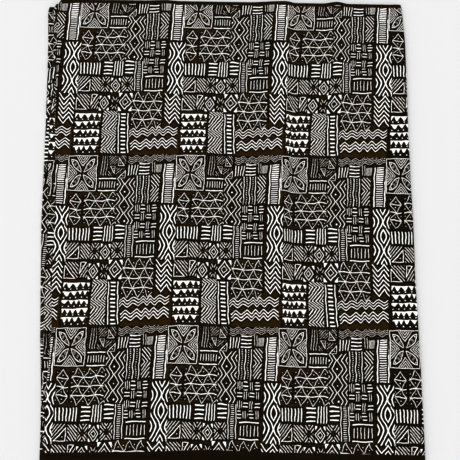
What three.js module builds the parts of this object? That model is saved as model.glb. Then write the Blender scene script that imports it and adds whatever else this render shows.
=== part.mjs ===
import * as THREE from "three";

// A six-yard length of printed cotton, folded back and forth into six layers that lie flat. Three
// folds show as steps at the left; two more and both cut ends are at the right. Lengths are in
// millimetres, with +X to the right, +Y from the front selvedge to the back one, and +Z up.

// Driving dimensions
const CLOTH_WIDTH = 1168; // from selvedge to selvedge
const SHEET = 1; // thickness of the cloth
const AIR = 0.7; // space between two flat layers
const OPEN_REACH = 22; // how far from its bend a fold stands open
const EDGE_CALM = 26; // strip along the folds and the cut ends where no crease rises
const TOP_DROOP = 2.4; // how far the top layer's cut end hangs over the folds under it

// Outline seen from above, from the front selvedge to the back one: the left edge of the bottom,
// middle and top pair of layers, and the top layer's cut end.
const OUTLINE = [
  { y: -584, low: -445, mid: -438, top: -432, cut: 473 },
  { y: -502, low: -446, mid: -439, top: -434, cut: 473 },
  { y: -420, low: -448, mid: -442, top: -434, cut: 472 },
  { y: -355, low: -452, mid: -445, top: -430, cut: 472 },
  { y: -290, low: -456, mid: -447, top: -428, cut: 471 },
  { y: -150, low: -461, mid: -449, top: -432, cut: 468 },
  { y: 0, low: -466, mid: -450, top: -431, cut: 469 },
  { y: 110, low: -466, mid: -453, top: -434, cut: 467 },
  { y: 170, low: -466, mid: -455, top: -437, cut: 467 },
  { y: 230, low: -466, mid: -456, top: -441, cut: 466 },
  { y: 350, low: -467, mid: -455, top: -443, cut: 468 },
  { y: 480, low: -469, mid: -454, top: -445, cut: 468 },
  { y: 570, low: -473, mid: -458, top: -445, cut: 463 },
  { y: 584, low: -470, mid: -452, top: -437, cut: 461 },
];

// The bends in the order in which the cloth runs, from the bottom layer's cut end to the top one's:
// the side that each is on, the edge that it follows and how far inside it lies, how wide its loop
// stands open, and how far the cloth has slipped along Y there.
const BENDS = [
  { side: 1, edge: "cut", inset: 7, open: 0, slip: -9 },
  { side: -1, edge: "low", inset: 0, open: 2, slip: -8 },
  { side: 1, edge: "cut", inset: 9, open: 0.6, slip: -10 },
  { side: -1, edge: "mid", inset: 0, open: 2.2, slip: -1 },
  { side: 1, edge: "cut", inset: 6, open: 0.6, slip: -7 },
  { side: -1, edge: "top", inset: 0, open: 2.6, slip: 12 },
  { side: 1, edge: "cut", inset: 0, open: 0, slip: -4 },
];
const LAYERS = BENDS.length - 1;

// Long soft creases from front to back: where each crosses both selvedges, how high it stands at the
// front, the middle and the back, and how wide its left and right flanks are.
const CREASES = [
  { front: -158, back: -163, heights: [2, 4, 5], left: 55, right: 42 },
  { front: 128, back: 155, heights: [10, 21, 10], left: 100, right: 30 },
  { front: 318, back: 291, heights: [0.5, 1, 11], left: 38, right: 34 },
];
const CARRY = [0, 0.35, 0.6, 0.78, 0.9, 1]; // share of a crease that each layer takes up
const RUMPLE = 0.6; // height of the slow waves between the creases

// Where a section has points: across each crease, as shares of its flanks, and near its bends
const FLANK_SHARES = [-1, -0.6, -0.25, 0, 0.33, 0.67, 1];
const BEND_STEPS = [0, 6, 13, OPEN_REACH]; // from a left bend
const CUT_STEPS = [32, 23, 14]; // from the top layer's cut end
const LOOP_TURNS = [0.17, 0.39, 0.61, 0.83]; // of half a turn

const mix = (a, b, t) => a + (b - a) * t;
const clamp01 = (t) => Math.min(1, Math.max(0, t));
const fade = (t) => Math.cos((Math.PI / 2) * clamp01(t)) ** 2; // 1 at 0, falling softly to 0 at 1

function outlineAt(y) {
  const next = Math.max(1, OUTLINE.findIndex((row) => row.y >= y));
  const [a, b] = [OUTLINE[next - 1], OUTLINE[next]];
  const at = (edge) => mix(a[edge], b[edge], (y - a.y) / (b.y - a.y));
  return { low: at("low"), mid: at("mid"), top: at("top"), cut: at("cut") };
}

// Outermost point of a bend or cut end, and the centre of its loop
const bendEdge = (bend, outline) => outline[bend.edge] - bend.side * bend.inset;
const loopRadius = (bend) => (SHEET + AIR + bend.open) / 2;
const loopCentre = (bend, outline) => bendEdge(bend, outline) - bend.side * (loopRadius(bend) + SHEET / 2);

const creaseLine = (crease, y) => mix(crease.front, crease.back, y / CLOTH_WIDTH + 0.5);

// How far the creases and the slow waves lift the cloth at a place
function rise(x, y, outline) {
  const along = (y / CLOTH_WIDTH + 0.5) * 2;
  let lift = RUMPLE * (1 + Math.sin(x / 97 + y / 140) * Math.cos(y / 118 - x / 210));
  for (const { heights, left, right, ...line } of CREASES) {
    const [front, middle, back] = heights;
    const height = along < 1 ? mix(front, middle, along) : mix(middle, back, along - 1);
    const offset = x - creaseLine(line, y);
    lift += height * fade(offset < 0 ? -offset / left : offset / right);
  }
  const inside = Math.min(x - outline.top, outline.cut - x);
  return lift * (1 - fade(inside / EDGE_CALM));
}

// Height of a layer's middle, counted from 0 at the bottom
function layerHeight(layer, x, y, outline) {
  let z = SHEET / 2 + layer * (SHEET + AIR) + CARRY[layer] * rise(x, y, outline);
  for (const bend of BENDS.slice(1, layer + 1)) {
    z += bend.open * fade(((loopCentre(bend, outline) - x) * bend.side) / OPEN_REACH);
  }
  if (layer === LAYERS - 1) {
    const start = loopCentre(BENDS[LAYERS - 2], outline);
    z -= TOP_DROOP * clamp01((x - start) / (outline.cut - start)) ** 2;
  }
  return z;
}

// Places across a layer where its section has points, from left to right
function layerPlaces(layer, y, outline) {
  const [left, right] = [BENDS[layer], BENDS[layer + 1]].sort((a, b) => a.side - b.side);
  const start = loopCentre(left, outline);
  const places = BEND_STEPS.map((step) => start + step);
  if (layer === 0) return [...places, bendEdge(right, outline)];
  for (const crease of CREASES) {
    const line = creaseLine(crease, y);
    places.push(...FLANK_SHARES.map((share) => line + share * (share < 0 ? crease.left : crease.right)));
  }
  places.push(...CUT_STEPS.map((step) => outline.cut - step));
  if (layer < LAYERS - 1) return [...places, loopCentre(right, outline)];
  const lastBend = loopCentre(BENDS[LAYERS - 2], outline);
  return [...places, lastBend, mix(lastBend, outline.cut, 0.5), outline.cut];
}

// One section across the cloth: the points of its middle line with the way that its face looks
function section(y) {
  const outline = outlineAt(y);
  const points = [];
  for (let layer = 0; layer < LAYERS; layer++) {
    const [from, to] = [BENDS[layer], BENDS[layer + 1]];
    const rightward = from.side < 0;
    const places = layerPlaces(layer, y, outline);
    const ordered = rightward ? places : places.reverse();
    const [first, last] = [ordered[0], ordered.at(-1)];
    for (const x of ordered) {
      const slip = mix(from.slip, to.slip, (x - first) / (last - first));
      points.push({ x, y: y + slip, z: layerHeight(layer, x, y, outline), nx: 0, nz: rightward ? 1 : -1 });
    }
    if (layer < LAYERS - 1) points.push(...loop(layer, to, y, outline));
  }
  return points;
}

// The points between two layers, around the loop that joins them
function loop(layer, bend, y, outline) {
  const x = loopCentre(bend, outline);
  const [under, over] = [layerHeight(layer, x, y, outline), layerHeight(layer + 1, x, y, outline)];
  const [radius, height] = [(over - under) / 2, (over + under) / 2];
  return LOOP_TURNS.map((turn) => {
    const [across, up] = [bend.side * Math.sin(Math.PI * turn), -Math.cos(Math.PI * turn)];
    return {
      x: x + radius * across,
      y: y + bend.slip,
      z: height + radius * up,
      nx: -bend.side * across,
      nz: -bend.side * up,
    };
  });
}

// The whole cloth as one closed skin: its sections side by side, with a strip along each selvedge
function foldedCloth() {
  const positions = [];
  const rows = OUTLINE.map(({ y }) => section(y));
  const count = rows[0].length;
  for (const row of rows) {
    const face = row.map((p) => [p.x + (p.nx * SHEET) / 2, p.y, p.z + (p.nz * SHEET) / 2]);
    const back = row.map((p) => [p.x - (p.nx * SHEET) / 2, p.y, p.z - (p.nz * SHEET) / 2]);
    positions.push(...face.flat(), ...back.reverse().flat());
  }
  const ring = 2 * count;
  const index = [];
  const quad = (a, b, c, d) => index.push(a, b, c, a, c, d);
  for (let row = 0; row < rows.length - 1; row++) {
    for (let at = 0; at < ring; at++) {
      const next = (at + 1) % ring;
      quad(row * ring + at, row * ring + next, (row + 1) * ring + next, (row + 1) * ring + at);
    }
  }
  const last = (rows.length - 1) * ring;
  for (let at = 0; at < count - 1; at++) {
    quad(at, ring - 1 - at, ring - 2 - at, at + 1);
    quad(last + at, last + at + 1, last + ring - 2 - at, last + ring - 1 - at);
  }
  const geometry = new THREE.BufferGeometry();
  geometry.setAttribute("position", new THREE.Float32BufferAttribute(positions, 3));
  geometry.setIndex(index);
  geometry.computeVertexNormals();
  return centred(geometry);
}

// Puts the middle of the cloth's box over the origin, with its underside at zero
function centred(geometry) {
  geometry.computeBoundingBox();
  const { min, max } = geometry.boundingBox;
  return geometry.translate(-(min.x + max.x) / 2, -(min.y + max.y) / 2, -min.z);
}

const printedCotton = new THREE.MeshStandardMaterial({ color: 0x3a3228, roughness: 0.9, metalness: 0 });

const cloth = new THREE.Mesh(foldedCloth(), printedCotton);
cloth.name = "folded_cloth";

const model = new THREE.Group();
model.add(cloth);

export default model;
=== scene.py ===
import math
from collections import namedtuple

import bpy
import numpy as np
from bpy.props import FloatProperty, FloatVectorProperty, IntProperty, PointerProperty
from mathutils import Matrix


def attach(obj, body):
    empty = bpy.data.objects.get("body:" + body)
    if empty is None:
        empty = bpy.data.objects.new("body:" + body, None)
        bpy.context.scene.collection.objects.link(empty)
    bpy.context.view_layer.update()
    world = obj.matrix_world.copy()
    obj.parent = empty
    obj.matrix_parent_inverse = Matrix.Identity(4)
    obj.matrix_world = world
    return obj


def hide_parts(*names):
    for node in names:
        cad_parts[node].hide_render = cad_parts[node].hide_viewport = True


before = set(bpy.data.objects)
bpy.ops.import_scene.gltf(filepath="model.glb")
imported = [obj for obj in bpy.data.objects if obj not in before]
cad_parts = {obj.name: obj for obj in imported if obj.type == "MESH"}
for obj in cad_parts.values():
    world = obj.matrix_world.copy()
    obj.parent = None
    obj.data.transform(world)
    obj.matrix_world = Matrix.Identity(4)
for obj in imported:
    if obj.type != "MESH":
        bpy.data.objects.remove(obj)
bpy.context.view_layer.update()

bl_info = {
    "name": "Folded wax-print cotton",
    "version": (1, 0, 0),
    "blender": (4, 5, 0),
    "location": "3D View > Sidebar > Cloth",
    "description": "A length of printed cotton folded into six layers, and the studio that it lies in",
    "category": "Object",
}

MM = 0.001
MOST_FACES = 100_000  # of the folded cotton, four-cornered

# The cloth, in millimetres: +X to the right, +Y from the front selvedge to the back one, +Z up
CLOTH_WIDTH = 1168.0  # from selvedge to selvedge
CAD_SHEET = 1.0  # thickness of the solid that this sheet stands for
AIR = 0.7  # space between two flat layers of the solid
OPEN_REACH = 22.0  # how far from its bend a fold stands open
EDGE_CALM = 26.0  # strip along the folds and the cut ends where no crease rises
TOP_DROOP = 2.4  # how far the top layer's cut end hangs over the folds under it

# Outline seen from above, from the front selvedge to the back one: the left edge of the bottom,
# middle and top pair of layers, and the top layer's cut end
Outline = namedtuple("Outline", "y low mid top cut")
OUTLINE = [
    Outline(-584, -445, -438, -432, 473),
    Outline(-502, -446, -439, -434, 473),
    Outline(-420, -448, -442, -434, 472),
    Outline(-355, -452, -445, -430, 472),
    Outline(-290, -456, -447, -428, 471),
    Outline(-150, -461, -449, -432, 468),
    Outline(0, -466, -450, -431, 469),
    Outline(110, -466, -453, -434, 467),
    Outline(170, -466, -455, -437, 467),
    Outline(230, -466, -456, -441, 466),
    Outline(350, -467, -455, -443, 468),
    Outline(480, -469, -454, -445, 468),
    Outline(570, -473, -458, -445, 463),
    Outline(584, -470, -452, -437, 461),
]

# The bends in the order in which the cloth runs, from the bottom layer's cut end to the top one's:
# side, edge that it follows, how far inside it lies, how wide its loop stands open, slip along Y
Bend = namedtuple("Bend", "side edge inset open slip")
BENDS = [
    Bend(1, "cut", 7, 0, -9),
    Bend(-1, "low", 0, 2, -8),
    Bend(1, "cut", 9, 0.6, -10),
    Bend(-1, "mid", 0, 2.2, -1),
    Bend(1, "cut", 6, 0.6, -7),
    Bend(-1, "top", 0, 2.6, 12),
    Bend(1, "cut", 0, 0, -4),
]
LAYERS = len(BENDS) - 1
LAST_RIGHT_BEND = BENDS[-3]
CENTRE_SLIP = 1.0  # the middle of the slips, which the solid's own centre takes away

# Long soft creases from front to back: where each crosses both selvedges, how high it stands at the
# front, the middle and the back, and how wide its left and right flanks are
Crease = namedtuple("Crease", "front back heights left right")
CREASES = [
    Crease(-158, -163, (2, 4, 5), 55, 42),
    Crease(128, 155, (10, 21, 10), 100, 30),
    Crease(318, 291, (0.5, 1, 11), 38, 34),
]
CARRY = [0, 0.35, 0.6, 0.78, 0.9, 1]  # share of a crease that each layer takes up
RUMPLE = 0.6  # height of the slow waves between the creases

# Small creases that only the fine sheet shows: both ends, height and half width
Wrinkle = namedtuple("Wrinkle", "x0 y0 x1 y1 height half")
WRINKLES = [
    Wrinkle(-300, 560, -318, 120, 1.1, 13),
    Wrinkle(-318, -60, -300, -560, 0.9, 15),
    Wrinkle(-60, 575, -42, 300, 1.4, 12),
    Wrinkle(-20, 40, -48, -330, 1.2, 16),
    Wrinkle(28, -260, 44, -575, 1.3, 14),
    Wrinkle(238, 330, 250, -120, 1.5, 15),
    Wrinkle(262, -220, 240, -560, 1.2, 13),
    Wrinkle(390, 575, 372, 180, 1.3, 14),
    Wrinkle(400, -40, 412, -480, 1.0, 14),
    Wrinkle(-400, 250, -230, 232, 0.9, 16),
    Wrinkle(-210, -205, 60, -190, 0.8, 18),
    Wrinkle(190, 215, 430, 236, 0.9, 17),
    Wrinkle(180, -395, 440, -380, 0.9, 17),
    Wrinkle(-380, -420, -120, -402, 0.8, 16),
]

# Grid of the fine sheet
FINE_STEP = 5.2  # across the top layer
ROW_STEP = 10.2  # from selvedge to selvedge
WIDE_FLANK = 90  # a crease with a left flank wider than this has points at the crest shares
CREST_SHARES = (-1, -0.8, -0.62, -0.46, -0.32, -0.2, -0.1, 0, 0.16, 0.32, 0.48, 0.64, 0.82, 1)
FLANK_SHARES = (-1, -0.66, -0.33, 0, 0.33, 0.66, 1)
BEND_STEPS = (0, 2, 4.5, 8, 13, OPEN_REACH)  # from a left bend
HIDDEN_STEP = 300  # from there to the one point in the middle of the bottom layer
CUT_STEPS = (32, 23, 14)  # from the cut end
HANG_SHARES = (0.35, 0.7, 1)  # of the way from the last right bend to the top layer's cut end
LOOP_TURNS = np.linspace(0, 1, 10)[1:-1]  # of half a turn

# One repeat of the print, along the cloth and from selvedge to selvedge
REPEAT_ALONG = 274.3
REPEAT_ACROSS = 440.0
# Where the print lies on the cloth
REPEAT_LINE = (-135.0, 0.0345)  # where a repeat starts at the cloth's middle, and how that line slants
REPEAT_TOP = 743.5  # how far behind the front selvedge the top of a repeat lies
# How far the pull of the cloth shifts the print off its even place, in whole millimetres to the right
# and towards the back, for some rows of motifs at four places along the print
PULL_PLACES = (-236, 38, 312, 560)
Pull = namedtuple("Pull", "y right back")
PULLS = [
    Pull(-505, (3, 2, -2, 2), (-1, 11, 8, 9)),
    Pull(-328, (2, 2, -2, 0), (0, 12, 8, 9)),
    Pull(-65, (4, 0, -4, -2), (-1, 9, 3, 4)),
    Pull(112, (1, 1, -5, -5), (-3, 4, 1, 4)),
    Pull(375, (2, 1, -2, 1), (-1, 1, 0, 5)),
    Pull(520, (4, 4, 2, 1), (-1, 3, 2, 3)),
]

# How wide the plain band along the front of the top layer is, at places from left to right
FRONT_BAND = {-440: 6, -190: 13, -45: 20, 105: 17, 470: 16}
BAND_PATCH = (2.5, 6.0, 384.0, 426.0)  # a plain part of the repeat, where the selvedges take their dye
BAND_SHIFT = 3  # whole repeats that keep the selvedges' places apart from the print's

# The studio, in metres
FLOOR_HALF = 4.0
FLOOR_DROP = 0.0003  # how far under the cloth the floor lies
LAMP_SIZE = 2.6
LAMP_PLACE = (-1.5, 1.2, 4.5)
PHOTO_SIDE = 460  # in pixels
SENSOR = 36.0  # in millimetres
CAMERA_AIM = (0.009, -0.026)  # where the middle of the photo meets the floor


def fade(share):
    """1 at 0, falling softly to 0 at 1."""
    return np.cos(np.pi / 2 * np.clip(share, 0, 1)) ** 2


def outline_at(y):
    """The outline's four edges at each row."""
    rows = np.array(OUTLINE)
    return Outline(y, *(np.interp(y, rows[:, 0], rows[:, edge]) for edge in range(1, 5)))


def bend_edge(bend, outline):
    return getattr(outline, bend.edge) - bend.side * bend.inset


def loop_centre(bend, outline):
    radius = (CAD_SHEET + AIR + bend.open) / 2
    return bend_edge(bend, outline) - bend.side * (radius + CAD_SHEET / 2)


def crease_line(crease, y):
    return crease.front + (crease.back - crease.front) * (y / CLOTH_WIDTH + 0.5)


def wrinkle_rise(x, y):
    """Height of the small creases, each a soft ridge that dies away at its ends."""
    lift = 0
    for w in WRINKLES:
        dx, dy = w.x1 - w.x0, w.y1 - w.y0
        length = math.hypot(dx, dy)
        along = ((x - w.x0) * dx + (y - w.y0) * dy) / length
        across = ((x - w.x0) * dy - (y - w.y0) * dx) / length
        across = across + w.half * 0.5 * np.sin(along / 61 + w.x0)
        end = fade(np.abs(along / length * 2 - 1) ** 3)
        lift = lift + w.height * end * fade(np.abs(across) / w.half)
    return lift


def rise(x, y, outline, wrinkles):
    """How far the creases and slow waves lift the cloth."""
    share = y / CLOTH_WIDTH + 0.5
    lift = RUMPLE * (1 + np.sin(x / 97 + y / 140) * np.cos(y / 118 - x / 210))
    for crease in CREASES:
        height = np.interp(share, (0, 0.5, 1), crease.heights)
        offset = x - crease_line(crease, y)
        lift = lift + height * fade(np.where(offset < 0, -offset / crease.left, offset / crease.right))
    lift = lift + wrinkles * wrinkle_rise(x, y)
    inside = np.minimum(x - outline.top, outline.cut - x)
    return lift * (1 - fade(inside / EDGE_CALM))


def layer_height(layer, x, y, outline, wrinkles):
    """Height of a layer's middle, counted from 0 at the bottom."""
    z = CAD_SHEET / 2 + layer * (CAD_SHEET + AIR)
    z = z + CARRY[layer] * rise(x, y, outline, wrinkles)
    for bend in BENDS[1:layer + 1]:
        z = z + bend.open * fade((loop_centre(bend, outline) - x) * bend.side / OPEN_REACH)
    if layer == LAYERS - 1:
        start = loop_centre(LAST_RIGHT_BEND, outline)
        z = z - TOP_DROOP * np.clip((x - start) / (outline.cut - start), 0, 1) ** 2
    return z


def layer_places(layer, y, outline):
    """Places across a layer where its sections have points, from left to right, one row each."""
    left, right = sorted((BENDS[layer], BENDS[layer + 1]), key=lambda bend: bend.side)
    start = loop_centre(left, outline)
    places = [start + step for step in BEND_STEPS]
    if layer == 0:
        return np.array(places + [start + OPEN_REACH + HIDDEN_STEP, bend_edge(right, outline)])
    if layer == LAYERS - 1:
        last = loop_centre(LAST_RIGHT_BEND, outline)
        first = places[-1]
        count = round((outline.cut - outline.top).mean() / FINE_STEP)
        shares = np.linspace(0, 1, count)[1:]
        places += [first + (last - first) * share for share in shares]
        return np.array(places + [last + (outline.cut - last) * share for share in HANG_SHARES])
    for crease in CREASES:
        shares = CREST_SHARES if crease.left > WIDE_FLANK else FLANK_SHARES
        line = crease_line(crease, y)
        places += [line + s * (crease.left if s < 0 else crease.right) for s in shares]
    places += [outline.cut - step for step in CUT_STEPS]
    return np.array(places + [loop_centre(right, outline)])


def cloth_sections(y, wrinkles):
    """Middle line of every section: x, y, z and the way that the printed face looks, per point."""
    outline = outline_at(y)
    points = []
    for layer in range(LAYERS):
        begin, end = BENDS[layer], BENDS[layer + 1]
        rightward = begin.side < 0
        places = layer_places(layer, y, outline)
        places = places if rightward else places[::-1]
        for x in places:
            slip = begin.slip + (end.slip - begin.slip) * (x - places[0]) / (places[-1] - places[0])
            z = layer_height(layer, x, y, outline, wrinkles)
            facing = np.full_like(y, 1.0 if rightward else -1.0)
            points.append((x, y + slip, z, np.zeros_like(y), facing))
        if layer < LAYERS - 1:
            points += loop_points(layer, end, y, outline, wrinkles)
    return np.array(points)


def loop_points(layer, bend, y, outline, wrinkles):
    """The points around the loop that joins a layer to the next."""
    x = loop_centre(bend, outline)
    under = layer_height(layer, x, y, outline, wrinkles)
    over = layer_height(layer + 1, x, y, outline, wrinkles)
    radius, middle = (over - under) / 2, (over + under) / 2
    points = []
    for turn in LOOP_TURNS * math.pi:
        across, up = bend.side * math.sin(turn), -math.cos(turn)
        facing = np.full_like(y, -bend.side * across), np.full_like(y, -bend.side * up)
        points.append((x + radius * across, y + bend.slip, middle + radius * up, *facing))
    return points


def cloth_rows(front, back):
    """The rows from selvedge to selvedge, with one at the inner edge of each plain band and one at
    the outline's turn by the back selvedge."""
    half = CLOTH_WIDTH / 2
    inner = np.linspace(-half + front, half - back, round(CLOTH_WIDTH / ROW_STEP))
    outer = np.array([-half, -half + front / 2, half - back / 2, half])
    return np.sort(np.concatenate([inner, outer, [OUTLINE[-2].y]]))


def top_layer_start(points, y):
    """Which of the points is the top layer's first."""
    return len(points) - len(layer_places(LAYERS - 1, y, outline_at(y)))


def fit_front_band(points, across, y, front_band, repeat_across):
    """Draws the top layer's rows in the front band to its own width at each place."""
    top = top_layer_start(points, y)
    widths = np.interp(points[top:, 0, 0], list(FRONT_BAND), list(FRONT_BAND.values()))
    for row in (1, 2):
        shift = (widths / front_band - 1) * (y[row] - y[0])
        points[top:, 1, row] += shift
        across[top:, row] += shift / repeat_across


def print_places(points, y, print_look):
    """Where each point lies on the print, in repeats along and across, before the selvedges' share."""
    steps = np.hypot(np.diff(points[:, 0], axis=0), np.diff(points[:, 2], axis=0))
    run = np.concatenate([np.zeros((1, len(y))), np.cumsum(steps, axis=0)])
    top = top_layer_start(points, y)
    line = REPEAT_LINE[0] + REPEAT_LINE[1] * y
    start = [np.interp(line[row], points[top:, 0, row], run[top:, row]) for row in range(len(y))]
    along = run - start
    across = REPEAT_TOP - (y + CLOTH_WIDTH / 2) + pulled("back", along, y)
    along = along - pulled("right", along, y)
    return along / (print_look.repeat_along / MM), 1 - across / (print_look.repeat_across / MM)


def pulled(way, along, y):
    """How far the print is pulled one way at each point, between the places in the table."""
    at_rows = [[np.interp(run, PULL_PLACES, getattr(row, way)) for run in along] for row in PULLS]
    rows = [row.y for row in PULLS]
    place = np.clip(np.interp(y, rows, np.arange(len(rows))), 0, len(rows) - 1.001)
    share = place % 1
    before, column = place.astype(int), np.arange(len(y))
    table = np.array(at_rows)
    first, second = table[before, :, column].T, table[before + 1, :, column].T
    return first + (second - first) * (0.5 - 0.5 * np.cos(np.pi * share))


def cloth_mesh(sizes, print_look):
    """The whole folded cloth as one closed skin, with the print's places as its UV map."""
    y = cloth_rows(sizes.front_band / MM, sizes.back_band / MM)
    points = cloth_sections(y, sizes.wrinkles)
    along, across = print_places(points, y, print_look)
    fit_front_band(points, across, y, sizes.front_band / MM, print_look.repeat_across / MM)
    count, rows = len(points), len(y)
    half = sizes.sheet / MM / 2
    offset = np.stack([points[:, 3], np.zeros((count, rows)), points[:, 4]], 1) * half
    skins = points[:, :3] + offset, (points[:, :3] - offset)[::-1]
    ring = np.concatenate(skins).transpose(2, 0, 1)
    ring[:, :, 1] -= CENTRE_SLIP
    ring[:, :, 2] -= CAD_SHEET / 2 - half
    places = np.stack([np.concatenate([part, part[::-1]]) for part in (along, across)], -1)
    places = places.transpose(1, 0, 2)

    size = 2 * count
    at = np.arange(rows * size).reshape(rows, size)
    after = np.roll(at, -1, axis=1)
    around = np.stack([at[:-1], after[:-1], after[1:], at[1:]], -1).reshape(-1, 4)
    inner = np.arange(count - 1)
    front = np.stack([inner, size - 1 - inner, size - 2 - inner, inner + 1], -1)
    back = (rows - 1) * size + front[:, ::-1]
    faces = np.concatenate([around, front, back])
    corners = places.reshape(-1, 2)[faces]
    banded = np.concatenate([np.repeat(in_plain_band(y, sizes), size), np.ones(len(front) * 2, bool)])
    corners[banded] = plain_places(corners[banded], print_look)

    mesh = bpy.data.meshes.new("folded_cotton")
    mesh.from_pydata(ring.reshape(-1, 3) * MM, [], faces.tolist())
    layer = mesh.uv_layers.new(name="OFBake")
    layer.uv.foreach_set("vector", corners.reshape(-1).astype(np.float32))
    mesh.polygons.foreach_set("use_smooth", np.ones(len(faces), bool))
    mesh.update()
    return mesh


def in_plain_band(y, sizes):
    """Which strips between two rows lie in the plain bands along the selvedges."""
    middle, half = (y[:-1] + y[1:]) / 2, CLOTH_WIDTH / 2
    return (middle < sizes.front_band / MM - half) | (middle > half - sizes.back_band / MM)


def plain_places(corners, print_look):
    """Places in the plain patch, back and forth, for the corners of the faces in the selvedges."""
    left, right, high, low = BAND_PATCH
    turn = np.abs(corners[..., 0] * 2 % 2 - 1)
    deep = np.abs(corners[..., 1] * 20 % 2 - 1)
    return BAND_SHIFT + np.stack([
        (left + (right - left) * deep) / (print_look.repeat_along / MM),
        1 - (high + (low - high) * turn) / (print_look.repeat_across / MM),
    ], -1)


class Field:
    """A number that the material's nodes work out at each place on the cloth."""

    def __init__(self, tree, socket):
        self.tree, self.socket = tree, socket

    def math(self, operation, *others, first=None):
        node = self.tree.nodes.new("ShaderNodeMath")
        node.operation = operation
        node.hide = True
        values = (self, *others) if first is None else (first, self, *others)
        for value, pin in zip(values, node.inputs):
            if isinstance(value, Field):
                self.tree.links.new(value.socket, pin)
            else:
                pin.default_value = value
        return Field(self.tree, node.outputs[0])

    def __add__(self, other):
        return self.math("ADD", other)

    def __sub__(self, other):
        return self.math("SUBTRACT", other)

    def __rsub__(self, other):
        return self.math("SUBTRACT", first=other)

    def __mul__(self, other):
        return self.math("MULTIPLY", other)

    def __abs__(self):
        return self.math("ABSOLUTE")

    def fold(self, half):
        """Back and forth between 0 and half, 0 at 0."""
        return self.math("PINGPONG", half)

    __radd__, __rmul__ = __add__, __mul__


def least(first, *others):
    for other in others:
        first = first.math("MINIMUM", other)
    return first


def most(first, *others):
    for other in others:
        first = first.math("MAXIMUM", other)
    return first


ROUND_END = 2.4  # how softly a stroke's end is rounded, in millimetres

# Every motif gives how far a place lies inside its white shape, in millimetres, negative outside
def box(x, y, left, right, high, low):
    across = (right - left) / 2 - abs(x - (left + right) / 2)
    return least(across, (low - high) / 2 - abs(y - (high + low) / 2))


def bars(t, pitch, width, first=0.0):
    """Parallel bars, one of them centred where t is first."""
    return width / 2 - (t - first).fold(pitch / 2)


def line(t, width, at=0.0):
    """One line, centred where t is at."""
    return width / 2 - abs(t - at)


def band(t, low, high):
    """The strip between two values of t."""
    return least(t - low, high - t)


def cut(strokes, shape):
    """Strokes cut off along a shape, with round ends."""
    return strokes.math("SMOOTH_MIN", shape, ROUND_END)


def dot(x, y, at_x, at_y, radius):
    dx, dy = x - at_x, y - at_y
    return radius - (dx * dx + dy * dy).math("SQRT")


def bar_rows(x, y, left, right, high, low, first, pitch):
    """Upright bars between two long ones."""
    long = bars(y, low - high - 4.0, 4.0, high + 2.0)
    short = cut(bars(x, pitch, 2.8, first), band(y, high + 8.5, low - 8.5))
    return cut(most(long, short), box(x, y, left, right, high - 1, low + 1))


def triangle_net(x, y, left, right, high, low, peak, half, row, width=2.55):
    """Rows of triangles with a dot in each, every second row upside down."""
    leaning, wavy = x + (y * 0.21).math("SINE") * 1.0, y + (x * 0.13).math("SINE") * 1.4
    px = (leaning - peak).fold(half)
    py = (wavy - high).fold(row)
    slope = math.hypot(half, row) / half
    sides = line(py - px * (row / half), width * slope) * (1 / slope)
    levels = least(bars(wavy, row, width + 0.8, high), band(y, high + row / 2, low - row / 2))
    dots = most(dot(px, py, 0, row * 0.6, 1.7), dot(px, py, half, row * 0.4, 1.7))
    return cut(most(sides, levels, dots), box(x, y, left, right, high - 1.4, low + 1.4))


def diamond_chain(x, y, centre, left, right, high, low, node, half, swing, pitch, width, first, bend,
                  inner):
    """Upright chain of diamonds with zigzags along both sides, pinched where y is node."""
    ax = abs(x - centre)
    curve = ((y - node) * (math.pi / half)).math("COSINE") * (-swing / 2) + swing / 2
    py = (y - node).fold(half)
    steep = math.hypot(swing, half) / half
    t = ax - py * (swing / half * (1 - bend)) - curve * bend
    lines = least(bars(t, pitch, width * steep, first), t + inner)
    return cut(lines, box(x, y, left, right, high, low))


def corner_diamond(x, y, left, right, high, low):
    """Nested diamonds in a square whose corners are white."""
    cx, cy, w, h = (left + right) / 2, (high + low) / 2, (right - left) / 2, (low - high) / 2
    r = abs(x - cx) + abs(y - cy) * (w / h)
    rings = most(line(r, 1.7 + w * 0.11, w * 0.84), line(r, 3.0, w * 0.38), (r - w * 1.36) * 0.7)
    return cut(rings, box(x, y, left, right, high, low))


def burst(x, y, left, right, high, low):
    """Strokes that run out from a dark middle to the four corners."""
    cx, cy, w, h = (left + right) / 2, (high + low) / 2, (right - left) / 2, (low - high) / 2
    ax, ay = abs(x - cx), abs(y - cy)
    t = (ax * h - ay * w) * (1 / math.hypot(w, h))
    strokes = cut(bars(t, 6.0, 2.8, 3.0), (ax * 1.3 + ay - 9) * 0.6)
    return cut(strokes, box(x, y, left, right, high, low))


def split_square(x, y, left, right, high, low, lean, flip=False, pitch=6.1, width=2.7):
    """Slanted stripes over one corner, and a triangle with a dot in the other."""
    w, h = right - left, low - high
    side = x - left if lean > 0 else right - x
    down = low - y if flip else y - high
    flat = w / math.hypot(w, h)
    t = (side * (h / w) + down - h * 1.13) * flat
    triangle = least(t, w - side, h - down)
    edge = least(triangle, width + 0.7 - triangle)
    stripes = cut(bars(t, pitch, width, -pitch * 0.85), t * -1 - 3)
    spot = dot(side, down, w * 0.74, h * 0.72, 1.8)
    return cut(most(edge, stripes, spot), box(x, y, left, right, high, low))


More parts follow.
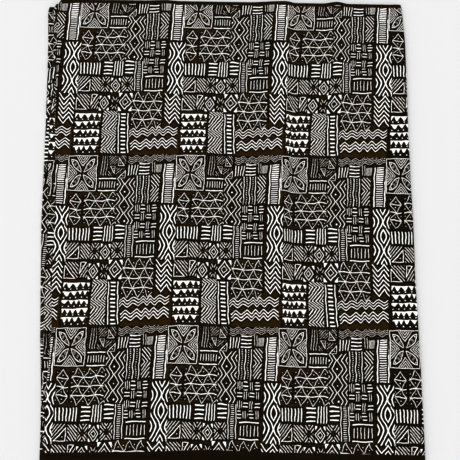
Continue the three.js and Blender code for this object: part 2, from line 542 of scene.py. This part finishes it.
def petal_square(x, y, left, right, high, low):
    """A framed flower of four slanted petals, with nested chevrons between them."""
    cx, cy = (left + right) / 2, (high + low) / 2
    w, h = (right - left) / 2, (low - high) / 2
    ax, ay = abs(x - cx), abs(y - cy)
    u, v = ax * (1 / w), ay * (1 / h)
    along = (u + v) * 0.5 - 0.43  # from the petal's widest place towards the corner
    petal = 8.3 - along * along * 58 - abs(u - v) * (29.5 - along * 22)
    rim = line(petal, 3.1, 1.6)
    hatch = bars(along, 0.042, 0.031) * 60
    spots = least(petal - 3.5, abs(along + 0.03).fold(0.09) * 60 - 1.5)
    seed = dot(ax, ay, w * 0.66, h * 0.67, 2.1)
    vein = most(least(hatch, spots), seed)
    upper = (v - u * 1.13 - 0.37) * (h / 1.73)
    beside = (u - v * 1.12 - 0.33) * (w / 1.345)
    wedge = most(upper, beside)
    chevrons = least(bars(wedge, 4.4, 2.7, 1.3), wedge)
    frame_distance = box(x, y, left, right, high, low)
    inside = least(most(rim, vein, chevrons), frame_distance - 2.6)
    return most(line(frame_distance, 2.9, 1.5), inside)


def saw_rows(x, y, left, right, high, low, pitch):
    """Bands with a straight upper edge and round-cut teeth below it, and dots under the teeth."""
    py = (y + x * 0.02 - high).math("FLOORED_MODULO", pitch)
    row = ((y + x * 0.02 - high) * (1 / pitch)).math("FLOOR")
    wave = (x * (math.tau / 15.2) + row * 2.6 + (x * 0.09 + row).math("SINE")).math("SINE")
    depth = (row * 1.9 + x * 0.05).math("SINE") * 1.4 + 8.2
    teeth = least(py, (depth - wave * 4.6 - py) * 0.55)
    px = (x - left - 6 + row * 2).fold(7.4)
    dots = dot(px, py, 0.0, pitch - 5.4, 2.2)
    return cut(most(teeth, dots), box(x, y, left, right, high, low))


def basket(x, y, left, right, high, low, cell_x, cell_y):
    """Squares of upright and level bars by turns."""
    wave_x = ((x - left) * (math.pi / cell_x)).math("SINE")
    wave_y = ((y - high) * (math.pi / cell_y)).math("SINE")
    turn = wave_x * wave_y * 9
    upright = cut(bars(x, cell_x / 2.8, 2.6, left + cell_x / 2), turn - 0.9)
    level = cut(bars(y, cell_y / 2.7, 3.7, high + cell_y / 2), -0.9 - turn)
    return least(most(upright, level), box(x, y, left, right, high, low))


def ladder(x, y, left, right, high, low, rail, pitch, rung, gap):
    """Two rails with rungs that stand clear of them."""
    rails = line(abs(x - (left + right) / 2), rail, (right - left - rail) / 2)
    rungs = cut(bars(y, pitch, rung, high + rung / 2), box(x, y, left + gap, right - gap, high, low))
    return most(cut(rails, band(y, high, low)), rungs)


def zigzags(x, y, left, right, high, count, peak, half, swing, pitch, width, bend):
    """Level zigzag lines that rise to the place called peak, the first of them to high."""
    curve = ((x - peak) * (math.pi / half)).math("COSINE") * (-swing / 2) + swing / 2
    t = y - (x - peak).fold(half) * (swing / half * (1 - bend)) - curve * bend
    steep = math.hypot(half, swing) / half
    reach = band(t, high - width * steep / 2 - 1, high + (count - 0.5) * pitch)
    return cut(bars(t, pitch, width * steep, high) * (1 / steep), least(reach, band(x, left, right)))


def repeat_motifs(x, y):
    """The motifs of one repeat, charted in millimetres from its top left corner."""
    yield petal_square(x, y, 0.8, 76.2, 0.8, 95)
    yield cut(bars(x + y * 0.05, 6.2, 2.2, 88.5), box(x, y, 84, 102.5, 1, 55))
    yield cut(bars(y, 4.3, 1.9, 4), box(x, y, 79.6, 82.6, 2, 48))
    yield cut(bars((x + y * 0.95) * 0.72, 4.6, 2.0, 94), box(x, y, 104, 127, 1, 27))
    yield split_square(x, y, 127.5, 149.5, 0.5, 29.5, -1, pitch=4.8, width=2.2)
    yield split_square(x, y, 103, 122, 29, 57.5, 1, flip=True, pitch=4.5, width=2.0)
    yield split_square(x, y, 123, 148.5, 33, 62, 1, pitch=4.6, width=2.1)
    yield bar_rows(x, y, 80, 125, 60.5, 95.2, 83, 6.5)
    yield dot(x, y, 129, 77, 2.4)
    yield triangle_net(x, y, 9.5, 40.5, 102, 183, 25, 14.5, 20.3)
    yield triangle_net(x, y, 45, 127, 98, 186.5, 62.5, 14.2, 22)
    yield diamond_chain(x, y, 148.5, 126.5, 174.5, 60, 183, 77.5, 19.3, 12.6, 9.6, 2.7, 0.8, 0.15, 5)
    yield most(dot(x, y, 147.5, 97, 2.9), dot(x, y, 149, 137, 2), dot(x, y, 151, 175, 2.6))
    wave = y + (x * (math.tau / 24)).math("SINE") * 3.0 + x * 0.045
    yield cut(bars(wave, 4.6, 2.2, 13), box(x, wave, 153, 274, 9, 30))
    yield cut(bars(x + y * 0.1, 7.3, 3.3, 159), box(x, y, 151, 180.5, 26, 55))
    yield cut(bars(y + x * 0.07, 8.8, 3.9, 37.2), box(x, y, 181.5, 209, 21, 53))
    yield cut(bars(x, 6.4, 2.6, 216), box(x, y, 214, 224.5, 19, 48))
    yield least(bars(x, 2.7, 2.4, 227), box(x, y, 225.6, 240.4, 26, 48))
    dashes = least(bars(x, 14.9, 3.6, 185.7), bars(y, 4.8, 3.0))
    yield cut(most(bars(x, 14.9, 3.1, 178.3), dashes), box(x, y, 176, 210.5, 54, 130))
    yield cut(bars(x + abs(y - 88) * 0.76, 8.2, 3.4, 221), box(x, y, 213, 236.5, 52.5, 126))
    lean = x + y * 0.035
    yield ladder(lean, y, 246.4, 277.8, 24, 129, 4.2, 5.6, 3.4, 6.2)
    yield least(bars(y, 5.6, 4.4, 25.7), box(lean, y, 253, 271, 25, 68))
    yield basket(x, y, 175.3, 233.7, 131, 221.4, 14.6, 22.6)
    yield bar_rows(x, y, 182, 232, 226, 269.5, 186.5, 8.4)
    for centre in (267, 267 - REPEAT_ALONG):
        yield diamond_chain(x, y, centre, centre - 26, centre + 17, 133, 277, 168, 36.3, 16.5, 10, 4.1, 0.5,
                            0.75, 14)
    yield cut(bars(x - y * 0.06, 8.1, 4.0, 2.2), box(x, y, 11.5, 66, 191, 224))
    yield cut(bars(y, 10.2, 4.7, 191), box(x, y, 73, 97.5, 187.5, 224.5))
    yield cut(bars(x + y * 0.05, 6.8, 3.6, 112.8), box(x, y, 99.5, 126.5, 186, 227))
    yield cut(bars(y, 10.4, 4.4, 187.5), box(x, y, 129.5, 153, 184, 222))
    yield ladder(x - y * 0.02, y, 151, 171.8, 184, 269, 3.0, 5.1, 2.9, 5.4)
    yield split_square(x, y, 4.5, 41.5, 228, 270.5, 1)
    yield cut(bars((x - y * 0.8) * 0.78, 6.0, 2.9, -120), box(x, y, 43, 69, 229.5, 271))
    yield burst(x, y, 68.5, 93.5, 230, 273)
    yield corner_diamond(x, y, 94.5, 120.5, 232, 274)
    yield burst(x, y, 122, 153.5, 228.5, 271)
    yield split_square(x, y, 7, 44, 276.5, 320.5, -1)
    yield split_square(x, y, 45.5, 67, 277, 319, -1, flip=True)
    yield corner_diamond(x, y, 67.5, 94.5, 281, 322)
    yield burst(x, y, 97.5, 117, 284, 319)
    yield corner_diamond(x, y, 117.5, 154, 273.5, 322.5)
    yield triangle_net(x, y, 153, 232.5, 272, 370, 169, 13.4, 24.5)
    for shift in (0, REPEAT_ALONG):
        yield zigzags(x + shift, y, 237.5, 279, 276, 6, 265.5, 13.5, 17.5, 12.7, 3.7, 0)
    yield saw_rows(x, y, 8.5, 75, 329.5, 436, 21.6)
    down = (y - 336.6).math("FLOORED_MODULO", 55)
    reach = least(down * 0.735, (55 - down) * 1.15)
    yield cut(bars(x + reach, 7.9, 4.4, 99) * 0.7, box(x, y, 79.5, 118, 322, 436))
    yield ladder(x - y * 0.045, y, 104.5, 131.5, 327, 436, 3.7, 10.4, 5.3, 7.2)
    uneven = x + (x * 0.085).math("SINE") * 2.2
    yield zigzags(uneven, y + x * 0.05, 151, 274, 377.5, 3, 162, 11.3, 8.8, 7.4, 3.2, 0.4)
    yield zigzags(uneven, y + x * 0.05, 156, 274, 408.5, 3, 170, 11.4, 10, 8.0, 3.4, 0.4)


def noise(tree, vector, scale, detail, name):
    node = tree.nodes.new("ShaderNodeTexNoise")
    node.name = name
    node.noise_dimensions = "2D"
    node.inputs["Scale"].default_value = scale
    node.inputs["Detail"].default_value = detail
    tree.links.new(vector, node.inputs["Vector"])
    return node


def new_group(name, inputs, outputs):
    tree = bpy.data.node_groups.new(name, "ShaderNodeTree")
    for direction, names in (("INPUT", inputs), ("OUTPUT", outputs)):
        for label in names:
            tree.interface.new_socket(label, in_out=direction, socket_type="NodeSocketFloat")
    return tree, tree.nodes.new("NodeGroupInput"), tree.nodes.new("NodeGroupOutput")


def ornaments_group():
    """Node group that says how far a place of the repeat lies inside the white motifs."""
    tree, given, result = new_group("white_ornaments", ("Along", "Down"), ("Inside",))
    x, y = Field(tree, given.outputs["Along"]), Field(tree, given.outputs["Down"])
    inside = None
    for motif in repeat_motifs(x, y):
        inside = motif if inside is None else most(inside, motif)
    tree.links.new(inside.socket, result.inputs["Inside"])
    return tree


def link_value(tree, value, pin):
    tree.links.new(value.socket, pin)


def mix_colours(tree, blend, factor):
    """Node that mixes the colours at its A and B."""
    node = tree.nodes.new("ShaderNodeMix")
    node.data_type = "RGBA"
    node.blend_type = blend
    node.inputs["Factor"].default_value = factor
    return node


def printed_cotton(look):
    """The cotton: its place in the repeat, the hand-cut motifs, the dye, the weave and its relief."""
    material = bpy.data.materials.new("printed_cotton")
    material.use_nodes = True
    tree = material.node_tree
    shader = tree.nodes["Principled BSDF"]
    uv = tree.nodes.new("ShaderNodeUVMap")
    uv.uv_map = "OFBake"
    repeats = tree.nodes.new("ShaderNodeSeparateXYZ")
    tree.links.new(uv.outputs["UV"], repeats.inputs["Vector"])
    x = Field(tree, repeats.outputs["X"]).math("FRACT") * (look.repeat_along / MM)
    y = (1 - Field(tree, repeats.outputs["Y"]).math("FRACT")) * (look.repeat_across / MM)
    place = tree.nodes.new("ShaderNodeCombineXYZ")
    link_value(tree, x, place.inputs["X"])
    link_value(tree, y, place.inputs["Y"])
    place = place.outputs[0]

    inside = hand_cut_motifs(tree, x, y, place, look)
    cloudy = Field(tree, noise(tree, place, 1 / 34, 3.0, "dye").outputs["Fac"])
    selvedge = Field(tree, repeats.outputs["X"]).math("GREATER_THAN", BAND_SHIFT - 1.0)
    tree.links.new(dyed_cotton(tree, inside, cloudy, selvedge, look), shader.inputs["Base Color"])
    tree.links.new(weave_relief(tree, x, y, place, look), shader.inputs["Normal"])
    link_value(tree, cloudy * 0.16 + 0.74, shader.inputs["Roughness"])
    shader.inputs["Specular IOR Level"].default_value = 0.06
    shader.inputs["Sheen Weight"].default_value = 0.02
    shader.inputs["Sheen Roughness"].default_value = 0.4
    shader.inputs["Sheen Tint"].default_value = (0.9, 0.8, 0.65, 1)
    return material


def hand_cut_motifs(tree, x, y, place, look):
    """How far a place lies inside the white, with the cutter's unsteady hand, alike in every repeat."""
    slow = tree.nodes.new("ShaderNodeSeparateColor")
    tree.links.new(noise(tree, place, 1 / 30, 2.0, "hand").outputs["Color"], slow.inputs["Color"])
    quick = Field(tree, noise(tree, place, 1 / 5.5, 1.0, "knife").outputs["Fac"])
    sway = look.sway / MM * 2
    motifs = tree.nodes.new("ShaderNodeGroup")
    motifs.node_tree = ornaments_group()
    link_value(tree, x + (Field(tree, slow.outputs["Red"]) - 0.5) * sway, motifs.inputs["Along"])
    link_value(tree, y + (Field(tree, slow.outputs["Green"]) - 0.5) * sway, motifs.inputs["Down"])
    ragged = (quick - 0.5) * (look.ragged / MM * 2) + look.growth / MM
    return Field(tree, motifs.outputs["Inside"]) + ragged


def dyed_cotton(tree, inside, cloudy, selvedge, look):
    """White cotton and dark ground, which is deepest beside the white, with brown where they meet."""
    white = tree.nodes.new("ShaderNodeMapRange")
    white.interpolation_type = "SMOOTHSTEP"
    white.inputs["From Min"].default_value = -0.25
    white.inputs["From Max"].default_value = look.bleed / MM
    link_value(tree, inside, white.inputs["Value"])
    ramp = tree.nodes.new("ShaderNodeValToRGB")
    ramp.color_ramp.elements[0].color = (0, 0, 0, 1)
    ramp.color_ramp.elements[1].color = (1, 1, 1, 1)
    ramp.color_ramp.elements.new(0.5).color = (0.46, 0.4, 0.33, 1)
    tree.links.new(white.outputs["Result"], ramp.inputs["Fac"])
    undyed = mix_colours(tree, "MULTIPLY", 1.0)
    undyed.inputs["B"].default_value = (*look.white, 1)
    tree.links.new(ramp.outputs["Color"], undyed.inputs["A"])

    open_ground = (inside * -0.22 - 0.3).math("MAXIMUM", 0.0).math("MINIMUM", 1.0)
    patchy = open_ground * (cloudy * 0.9 + 0.45) * (1 - selvedge * 0.65)
    ground = mix_colours(tree, "MIX", 0.5)
    ground.inputs["A"].default_value = (*look.ground_dark, 1)
    ground.inputs["B"].default_value = (*look.ground_light, 1)
    link_value(tree, patchy, ground.inputs["Factor"])
    dyed = mix_colours(tree, "SCREEN", 1.0)
    tree.links.new(ground.outputs["Result"], dyed.inputs["A"])
    tree.links.new(undyed.outputs["Result"], dyed.inputs["B"])
    return dyed.outputs["Result"]


def weave_relief(tree, x, y, place, look):
    """Plain weave: crossed threads, with slubs."""
    thread = math.pi * MM / look.thread
    warp, weft = (x * thread).math("SINE"), (y * thread).math("SINE")
    slub = Field(tree, noise(tree, place, 1 / 1.7, 2.0, "slubs").outputs["Fac"])
    bump = tree.nodes.new("ShaderNodeBump")
    bump.inputs["Strength"].default_value = 0.35
    bump.inputs["Distance"].default_value = look.relief
    link_value(tree, warp * weft * 0.5 + slub * 0.8, bump.inputs["Height"])
    return bump.outputs["Normal"]


class ClothSizes(bpy.types.PropertyGroup):
    sheet: FloatProperty(
        name="Thickness", description="Thickness of the cotton", default=0.6 * MM, min=0.2 * MM,
        subtype="DISTANCE", unit="LENGTH")
    front_band: FloatProperty(
        name="Front band", description="Width of the plain band along the front selvedge",
        default=22 * MM, subtype="DISTANCE", unit="LENGTH")
    back_band: FloatProperty(
        name="Back band", description="Width of the plain band along the back selvedge",
        default=10 * MM, subtype="DISTANCE", unit="LENGTH")
    wrinkles: FloatProperty(
        name="Wrinkles", description="Share of the small creases' height", default=1.0, subtype="FACTOR")


class PrintLook(bpy.types.PropertyGroup):
    repeat_along: FloatProperty(
        name="Repeat along", description="Length of one repeat along the cloth", default=REPEAT_ALONG * MM,
        subtype="DISTANCE", unit="LENGTH")
    repeat_across: FloatProperty(
        name="Repeat across", description="Length of one repeat from selvedge to selvedge",
        default=REPEAT_ACROSS * MM, subtype="DISTANCE", unit="LENGTH")
    sway: FloatProperty(
        name="Sway", description="How far the hand-cut lines wander", default=3.0 * MM,
        subtype="DISTANCE", unit="LENGTH")
    ragged: FloatProperty(
        name="Ragged edge", description="How uneven the edges of the white lines are", default=0.5 * MM,
        subtype="DISTANCE", unit="LENGTH")
    growth: FloatProperty(
        name="Growth",
        description="How far each edge of the white lies outside its chart, or inside if negative",
        default=-0.61 * MM, subtype="DISTANCE", unit="LENGTH")
    bleed: FloatProperty(
        name="Bleed", description="How far the dye runs into the white", default=0.5 * MM,
        subtype="DISTANCE", unit="LENGTH")
    thread: FloatProperty(
        name="Thread", description="Distance from thread to thread", default=0.45 * MM,
        subtype="DISTANCE", unit="LENGTH")
    relief: FloatProperty(
        name="Weave relief", description="Height of the weave and its slubs", default=0.1 * MM,
        subtype="DISTANCE", unit="LENGTH")
    white: FloatVectorProperty(
        name="White", description="Undyed cotton", default=(0.965, 0.96, 0.94), subtype="COLOR",
        min=0, max=1)
    ground_dark: FloatVectorProperty(
        name="Ground by the white", description="Dye beside the white motifs",
        default=(0.005, 0.003, 0.0006), subtype="COLOR", min=0, max=1)
    ground_light: FloatVectorProperty(
        name="Open ground", description="Dye in the open ground",
        default=(0.038, 0.0205, 0.0038), subtype="COLOR", min=0, max=1)


class StudioLook(bpy.types.PropertyGroup):
    floor: FloatVectorProperty(
        name="Floor", description="Colour of the floor", default=(0.775, 0.775, 0.775), subtype="COLOR",
        min=0, max=1)
    sky: FloatProperty(name="Fill light", description="Strength of the even light", default=1.12, min=0)
    key: FloatProperty(
        name="Key light", description="Power of the large soft lamp", default=15.0, min=0, unit="POWER")
    contrast: FloatProperty(
        name="Contrast", description="Gamma of the view, which sets the middle tones", default=0.76,
        min=0.5, max=1.5)
    camera_height: FloatProperty(
        name="Camera height", description="Height of the camera over the floor", default=1.977,
        subtype="DISTANCE", unit="LENGTH")
    camera_tilt: FloatProperty(
        name="Camera tilt", description="Angle between the camera's view and straight down",
        default=math.radians(10.807), subtype="ANGLE", unit="ROTATION")
    photo_focus: IntProperty(
        name="Focal length in pixels", description="Focal length in pixels of the square photo",
        default=800, subtype="PIXEL")


class CLOTH_OT_fold_cotton(bpy.types.Operator):
    """Build the printed cotton in its six layers"""

    bl_idname = "cloth.fold_cotton"
    bl_label = "Folded cotton"

    def execute(self, context):
        sizes, look = context.scene.cloth_sizes, context.scene.print_look
        mesh = cloth_mesh(sizes, look)
        if len(mesh.polygons) > MOST_FACES:
            raise RuntimeError("the folded cotton has too many faces")
        piece = bpy.data.objects.new("folded_cotton", mesh)
        context.scene.collection.objects.link(piece)
        mesh.materials.append(printed_cotton(look))
        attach(piece, "root")
        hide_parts("folded_cloth")
        return {"FINISHED"}


class CLOTH_OT_set_studio(bpy.types.Operator):
    """Lay the pale floor, and place the lights and the camera"""

    bl_idname = "cloth.set_studio"
    bl_label = "Studio"

    def execute(self, context):
        studio = context.scene.studio_look
        self.lay_floor(context, studio)
        self.light(context, studio)
        self.place_camera(context, studio)
        return {"FINISHED"}

    def lay_floor(self, context, studio):
        corners = [(x * FLOOR_HALF, y * FLOOR_HALF, -FLOOR_DROP)
                   for x, y in ((-1, -1), (1, -1), (1, 1), (-1, 1))]
        mesh = bpy.data.meshes.new("studio_floor")
        mesh.from_pydata(corners, [], [(0, 1, 2, 3)])
        material = bpy.data.materials.new("studio_floor")
        material.use_nodes = True
        shader = material.node_tree.nodes["Principled BSDF"]
        shader.inputs["Base Color"].default_value = (*studio.floor, 1)
        shader.inputs["Roughness"].default_value = 0.9
        mesh.materials.append(material)
        floor = bpy.data.objects.new("studio_floor", mesh)
        context.scene.collection.objects.link(floor)

    def light(self, context, studio):
        world = bpy.data.worlds.new("studio")
        world.use_nodes = True
        background = world.node_tree.nodes["Background"]
        background.inputs["Color"].default_value = (1, 1, 1, 1)
        background.inputs["Strength"].default_value = studio.sky
        context.scene.world = world
        lamp = bpy.data.lights.new("soft_lamp", "AREA")
        lamp.shape, lamp.size, lamp.energy = "DISK", LAMP_SIZE, studio.key
        holder = bpy.data.objects.new("soft_lamp", lamp)
        holder.location = LAMP_PLACE
        holder.rotation_euler = (-holder.location).to_track_quat("-Z", "Y").to_euler()
        context.scene.collection.objects.link(holder)

    def place_camera(self, context, studio):
        lens = bpy.data.cameras.new("photo_view")
        lens.sensor_width = SENSOR
        lens.lens = SENSOR * studio.photo_focus / PHOTO_SIDE
        lens.dof.use_dof = False
        camera = bpy.data.objects.new("photo_view", lens)
        aim_x, aim_y = CAMERA_AIM
        reach = studio.camera_height * math.tan(studio.camera_tilt)
        camera.location = (aim_x, aim_y - reach, studio.camera_height)
        camera.rotation_euler = (studio.camera_tilt, 0, 0)
        context.scene.collection.objects.link(camera)
        context.scene.camera = camera
        context.scene.view_settings.view_transform = "Standard"
        context.scene.view_settings.gamma = studio.contrast


class CLOTH_PT_panel(bpy.types.Panel):
    bl_idname = "CLOTH_PT_panel"
    bl_label = "Folded cotton"
    bl_space_type = "VIEW_3D"
    bl_region_type = "UI"
    bl_category = "Cloth"

    def draw(self, context):
        layout = self.layout
        for group in ("cloth_sizes", "print_look", "studio_look"):
            holder = getattr(context.scene, group)
            column = layout.column(align=True)
            for name in holder.__annotations__:
                column.prop(holder, name)
        layout.operator(CLOTH_OT_fold_cotton.bl_idname)
        layout.operator(CLOTH_OT_set_studio.bl_idname)


CLASSES = (ClothSizes, PrintLook, StudioLook, CLOTH_OT_fold_cotton, CLOTH_OT_set_studio, CLOTH_PT_panel)
GROUPS = {"cloth_sizes": ClothSizes, "print_look": PrintLook, "studio_look": StudioLook}


def register():
    for cls in CLASSES:
        bpy.utils.register_class(cls)
    for name, group in GROUPS.items():
        setattr(bpy.types.Scene, name, PointerProperty(type=group))


def unregister():
    for name in GROUPS:
        delattr(bpy.types.Scene, name)
    for cls in reversed(CLASSES):
        bpy.utils.unregister_class(cls)


def main():
    register()
    bpy.ops.cloth.set_studio()
    bpy.ops.cloth.fold_cotton()


if __name__ == "__main__":
    main()
